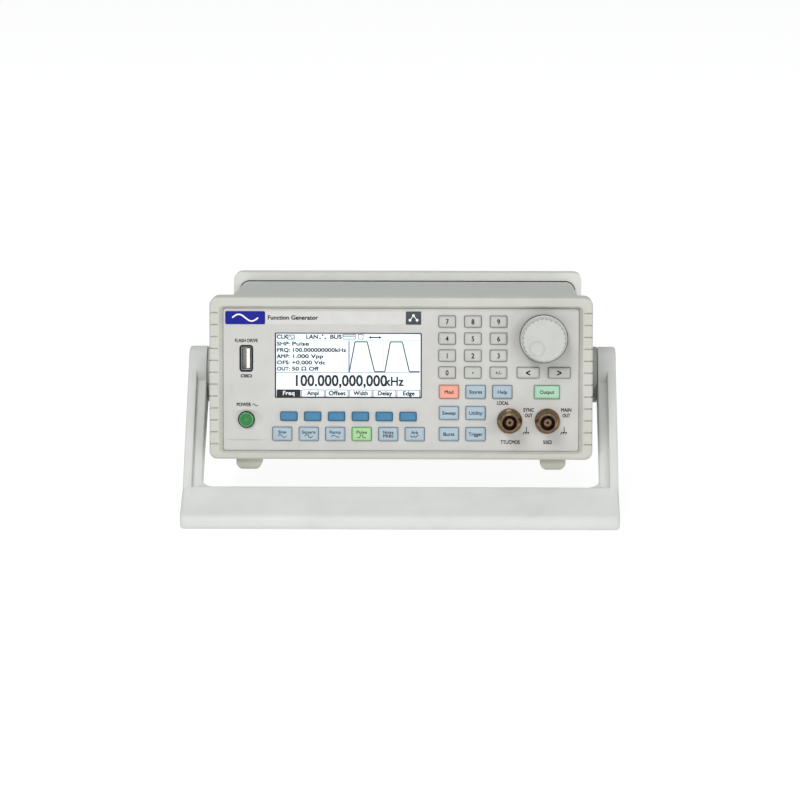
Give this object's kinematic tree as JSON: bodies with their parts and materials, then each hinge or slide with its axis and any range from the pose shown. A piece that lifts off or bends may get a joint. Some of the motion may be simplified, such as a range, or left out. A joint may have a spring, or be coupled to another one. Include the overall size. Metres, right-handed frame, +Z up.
{
  "type": "function generator",
  "caption": "Bench waveform generator with display, colour-coded keys, rotary control and coaxial sockets, standing on its swing-down carrying handle.",
  "frame": {"origin": "centre of the bounding box at the surface it stands on", "axes": "+X to the user's right, +Y from the front panel to the rear, +Z up from the bench; the case leans back on its handle by 5.54 degrees"},
  "size_m": [0.244, 0.3274, 0.1233],
  "materials": {
    "case_plastic": "fine spark texture",
    "panel_print": "satin screen-printed panel",
    "handle_plastic": "fine moulded texture",
    "black_plastic": "satin moulding",
    "knob_plastic": "satin moulding",
    "shaft_steel": "turned",
    "encoder_metal": "plated housing",
    "power_green": "translucent moulding",
    "clear_window": "clear polished sheet",
    "display_white": "lit white display",
    "silicone": "matt silicone",
    "board_green": "solder mask",
    "socket_steel": "stamped and plated",
    "socket_nickel": "nickel plated",
    "painted_cover": "fine textured paint",
    "tray_steel": "fine textured paint",
    "rear_plate": "anodised sheet",
    "supply_can": "folded sheet",
    "foot_plastic": "moulded",
    "screw_steel": "zinc plated",
    "soft_key_blue": "moulded",
    "key_sky_blue": "moulded",
    "key_green": "moulded",
    "key_salmon": "moulded",
    "key_beige": "moulded"
  },
  "bodies": {
    "case": {"pivot_bosses": "black_plastic", "encoder_body": "encoder_metal", "front_bezel": "case_plastic", "front_panel": "panel_print", "display_window": "clear_window", "lcd_module": "display_white", "keypad_mat": "silicone", "front_board": "board_green", "usb_host_socket": "socket_steel", "bnc_sockets_front": "socket_nickel", "bnc_sockets_rear": "socket_nickel", "top_cover": "painted_cover", "chassis_tray": "tray_steel", "rear_bezel": "case_plastic", "rear_panel": "rear_plate", "mains_inlet": "black_plastic", "data_sockets": "socket_steel", "main_board": "board_green", "power_supply": "supply_can", "feet": "foot_plastic", "screws": "screw_steel"},
    "handle": {"handle": "handle_plastic"},
    "knob": {"control_knob": "knob_plastic", "encoder_shaft": "shaft_steel"},
    "power_button": {"power_button": "power_green"},
    "fuse_drawer": {"fuse_drawer": "black_plastic"},
    "soft_key_1": {"soft_key_1": "soft_key_blue"},
    "soft_key_2": {"soft_key_2": "soft_key_blue"},
    "soft_key_3": {"soft_key_3": "soft_key_blue"},
    "soft_key_4": {"soft_key_4": "soft_key_blue"},
    "soft_key_5": {"soft_key_5": "soft_key_blue"},
    "soft_key_6": {"soft_key_6": "soft_key_blue"},
    "sine_key": {"sine_key": "key_sky_blue"},
    "square_key": {"square_key": "key_sky_blue"},
    "ramp_key": {"ramp_key": "key_sky_blue"},
    "pulse_key": {"pulse_key": "key_green"},
    "noise_key": {"noise_key": "key_sky_blue"},
    "arb_key": {"arb_key": "key_sky_blue"},
    "digit_7": {"digit_7": "key_beige"},
    "digit_8": {"digit_8": "key_beige"},
    "digit_9": {"digit_9": "key_beige"},
    "digit_4": {"digit_4": "key_beige"},
    "digit_5": {"digit_5": "key_beige"},
    "digit_6": {"digit_6": "key_beige"},
    "digit_1": {"digit_1": "key_beige"},
    "digit_2": {"digit_2": "key_beige"},
    "digit_3": {"digit_3": "key_beige"},
    "digit_0": {"digit_0": "key_beige"},
    "point_key": {"point_key": "key_beige"},
    "sign_key": {"sign_key": "key_beige"},
    "cursor_left": {"cursor_left": "key_beige"},
    "cursor_right": {"cursor_right": "key_beige"},
    "mod_key": {"mod_key": "key_salmon"},
    "stores_key": {"stores_key": "key_sky_blue"},
    "help_key": {"help_key": "key_sky_blue"},
    "sweep_key": {"sweep_key": "key_sky_blue"},
    "utility_key": {"utility_key": "key_sky_blue"},
    "burst_key": {"burst_key": "key_sky_blue"},
    "trigger_key": {"trigger_key": "key_sky_blue"},
    "output_key": {"output_key": "key_green"}
  },
  "joints": [
    {"name": "handle_pivot", "type": "hinge", "parent": "case", "child": "handle", "pos_m": [0, -0.06082, 0.07024], "axis": [1, 0, 0], "range_deg": [-190, 104]},
    {"name": "knob_turn", "type": "hinge", "parent": "case", "child": "knob", "pos_m": [0.08, -0.12313, 0.101], "axis": [0, -0.9953, 0.0966], "continuous": true},
    {"name": "power_press", "type": "slide", "parent": "case", "child": "power_button", "axis": [0, 0.9953, -0.0966], "range_m": [0, 0.0015], "stiffness_N_per_m": 400},
    {"name": "fuse_drawer_slide", "type": "slide", "parent": "case", "child": "fuse_drawer", "axis": [0, 0.9953, -0.0966], "range_m": [0, 0.014]},
    {"name": "soft_key_1_press", "type": "slide", "parent": "case", "child": "soft_key_1", "axis": [0, 0.9953, -0.0966], "range_m": [0, 0.001], "stiffness_N_per_m": 300},
    {"name": "soft_key_2_press", "type": "slide", "parent": "case", "child": "soft_key_2", "axis": [0, 0.9953, -0.0966], "range_m": [0, 0.001], "stiffness_N_per_m": 300},
    {"name": "soft_key_3_press", "type": "slide", "parent": "case", "child": "soft_key_3", "axis": [0, 0.9953, -0.0966], "range_m": [0, 0.001], "stiffness_N_per_m": 300},
    {"name": "soft_key_4_press", "type": "slide", "parent": "case", "child": "soft_key_4", "axis": [0, 0.9953, -0.0966], "range_m": [0, 0.001], "stiffness_N_per_m": 300},
    {"name": "soft_key_5_press", "type": "slide", "parent": "case", "child": "soft_key_5", "axis": [0, 0.9953, -0.0966], "range_m": [0, 0.001], "stiffness_N_per_m": 300},
    {"name": "soft_key_6_press", "type": "slide", "parent": "case", "child": "soft_key_6", "axis": [0, 0.9953, -0.0966], "range_m": [0, 0.001], "stiffness_N_per_m": 300},
    {"name": "sine_key_press", "type": "slide", "parent": "case", "child": "sine_key", "axis": [0, 0.9953, -0.0966], "range_m": [0, 0.001], "stiffness_N_per_m": 300},
    {"name": "square_key_press", "type": "slide", "parent": "case", "child": "square_key", "axis": [0, 0.9953, -0.0966], "range_m": [0, 0.001], "stiffness_N_per_m": 300},
    {"name": "ramp_key_press", "type": "slide", "parent": "case", "child": "ramp_key", "axis": [0, 0.9953, -0.0966], "range_m": [0, 0.001], "stiffness_N_per_m": 300},
    {"name": "pulse_key_press", "type": "slide", "parent": "case", "child": "pulse_key", "axis": [0, 0.9953, -0.0966], "range_m": [0, 0.001], "stiffness_N_per_m": 300},
    {"name": "noise_key_press", "type": "slide", "parent": "case", "child": "noise_key", "axis": [0, 0.9953, -0.0966], "range_m": [0, 0.001], "stiffness_N_per_m": 300},
    {"name": "arb_key_press", "type": "slide", "parent": "case", "child": "arb_key", "axis": [0, 0.9953, -0.0966], "range_m": [0, 0.001], "stiffness_N_per_m": 300},
    {"name": "digit_7_press", "type": "slide", "parent": "case", "child": "digit_7", "axis": [0, 0.9953, -0.0966], "range_m": [0, 0.001], "stiffness_N_per_m": 300},
    {"name": "digit_8_press", "type": "slide", "parent": "case", "child": "digit_8", "axis": [0, 0.9953, -0.0966], "range_m": [0, 0.001], "stiffness_N_per_m": 300},
    {"name": "digit_9_press", "type": "slide", "parent": "case", "child": "digit_9", "axis": [0, 0.9953, -0.0966], "range_m": [0, 0.001], "stiffness_N_per_m": 300},
    {"name": "digit_4_press", "type": "slide", "parent": "case", "child": "digit_4", "axis": [0, 0.9953, -0.0966], "range_m": [0, 0.001], "stiffness_N_per_m": 300},
    {"name": "digit_5_press", "type": "slide", "parent": "case", "child": "digit_5", "axis": [0, 0.9953, -0.0966], "range_m": [0, 0.001], "stiffness_N_per_m": 300},
    {"name": "digit_6_press", "type": "slide", "parent": "case", "child": "digit_6", "axis": [0, 0.9953, -0.0966], "range_m": [0, 0.001], "stiffness_N_per_m": 300},
    {"name": "digit_1_press", "type": "slide", "parent": "case", "child": "digit_1", "axis": [0, 0.9953, -0.0966], "range_m": [0, 0.001], "stiffness_N_per_m": 300},
    {"name": "digit_2_press", "type": "slide", "parent": "case", "child": "digit_2", "axis": [0, 0.9953, -0.0966], "range_m": [0, 0.001], "stiffness_N_per_m": 300},
    {"name": "digit_3_press", "type": "slide", "parent": "case", "child": "digit_3", "axis": [0, 0.9953, -0.0966], "range_m": [0, 0.001], "stiffness_N_per_m": 300},
    {"name": "digit_0_press", "type": "slide", "parent": "case", "child": "digit_0", "axis": [0, 0.9953, -0.0966], "range_m": [0, 0.001], "stiffness_N_per_m": 300},
    {"name": "point_key_press", "type": "slide", "parent": "case", "child": "point_key", "axis": [0, 0.9953, -0.0966], "range_m": [0, 0.001], "stiffness_N_per_m": 300},
    {"name": "sign_key_press", "type": "slide", "parent": "case", "child": "sign_key", "axis": [0, 0.9953, -0.0966], "range_m": [0, 0.001], "stiffness_N_per_m": 300},
    {"name": "cursor_left_press", "type": "slide", "parent": "case", "child": "cursor_left", "axis": [0, 0.9953, -0.0966], "range_m": [0, 0.001], "stiffness_N_per_m": 300},
    {"name": "cursor_right_press", "type": "slide", "parent": "case", "child": "cursor_right", "axis": [0, 0.9953, -0.0966], "range_m": [0, 0.001], "stiffness_N_per_m": 300},
    {"name": "mod_key_press", "type": "slide", "parent": "case", "child": "mod_key", "axis": [0, 0.9953, -0.0966], "range_m": [0, 0.001], "stiffness_N_per_m": 300},
    {"name": "stores_key_press", "type": "slide", "parent": "case", "child": "stores_key", "axis": [0, 0.9953, -0.0966], "range_m": [0, 0.001], "stiffness_N_per_m": 300},
    {"name": "help_key_press", "type": "slide", "parent": "case", "child": "help_key", "axis": [0, 0.9953, -0.0966], "range_m": [0, 0.001], "stiffness_N_per_m": 300},
    {"name": "sweep_key_press", "type": "slide", "parent": "case", "child": "sweep_key", "axis": [0, 0.9953, -0.0966], "range_m": [0, 0.001], "stiffness_N_per_m": 300},
    {"name": "utility_key_press", "type": "slide", "parent": "case", "child": "utility_key", "axis": [0, 0.9953, -0.0966], "range_m": [0, 0.001], "stiffness_N_per_m": 300},
    {"name": "burst_key_press", "type": "slide", "parent": "case", "child": "burst_key", "axis": [0, 0.9953, -0.0966], "range_m": [0, 0.001], "stiffness_N_per_m": 300},
    {"name": "trigger_key_press", "type": "slide", "parent": "case", "child": "trigger_key", "axis": [0, 0.9953, -0.0966], "range_m": [0, 0.001], "stiffness_N_per_m": 300},
    {"name": "output_key_press", "type": "slide", "parent": "case", "child": "output_key", "axis": [0, 0.9953, -0.0966], "range_m": [0, 0.001], "stiffness_N_per_m": 300}
  ]
}
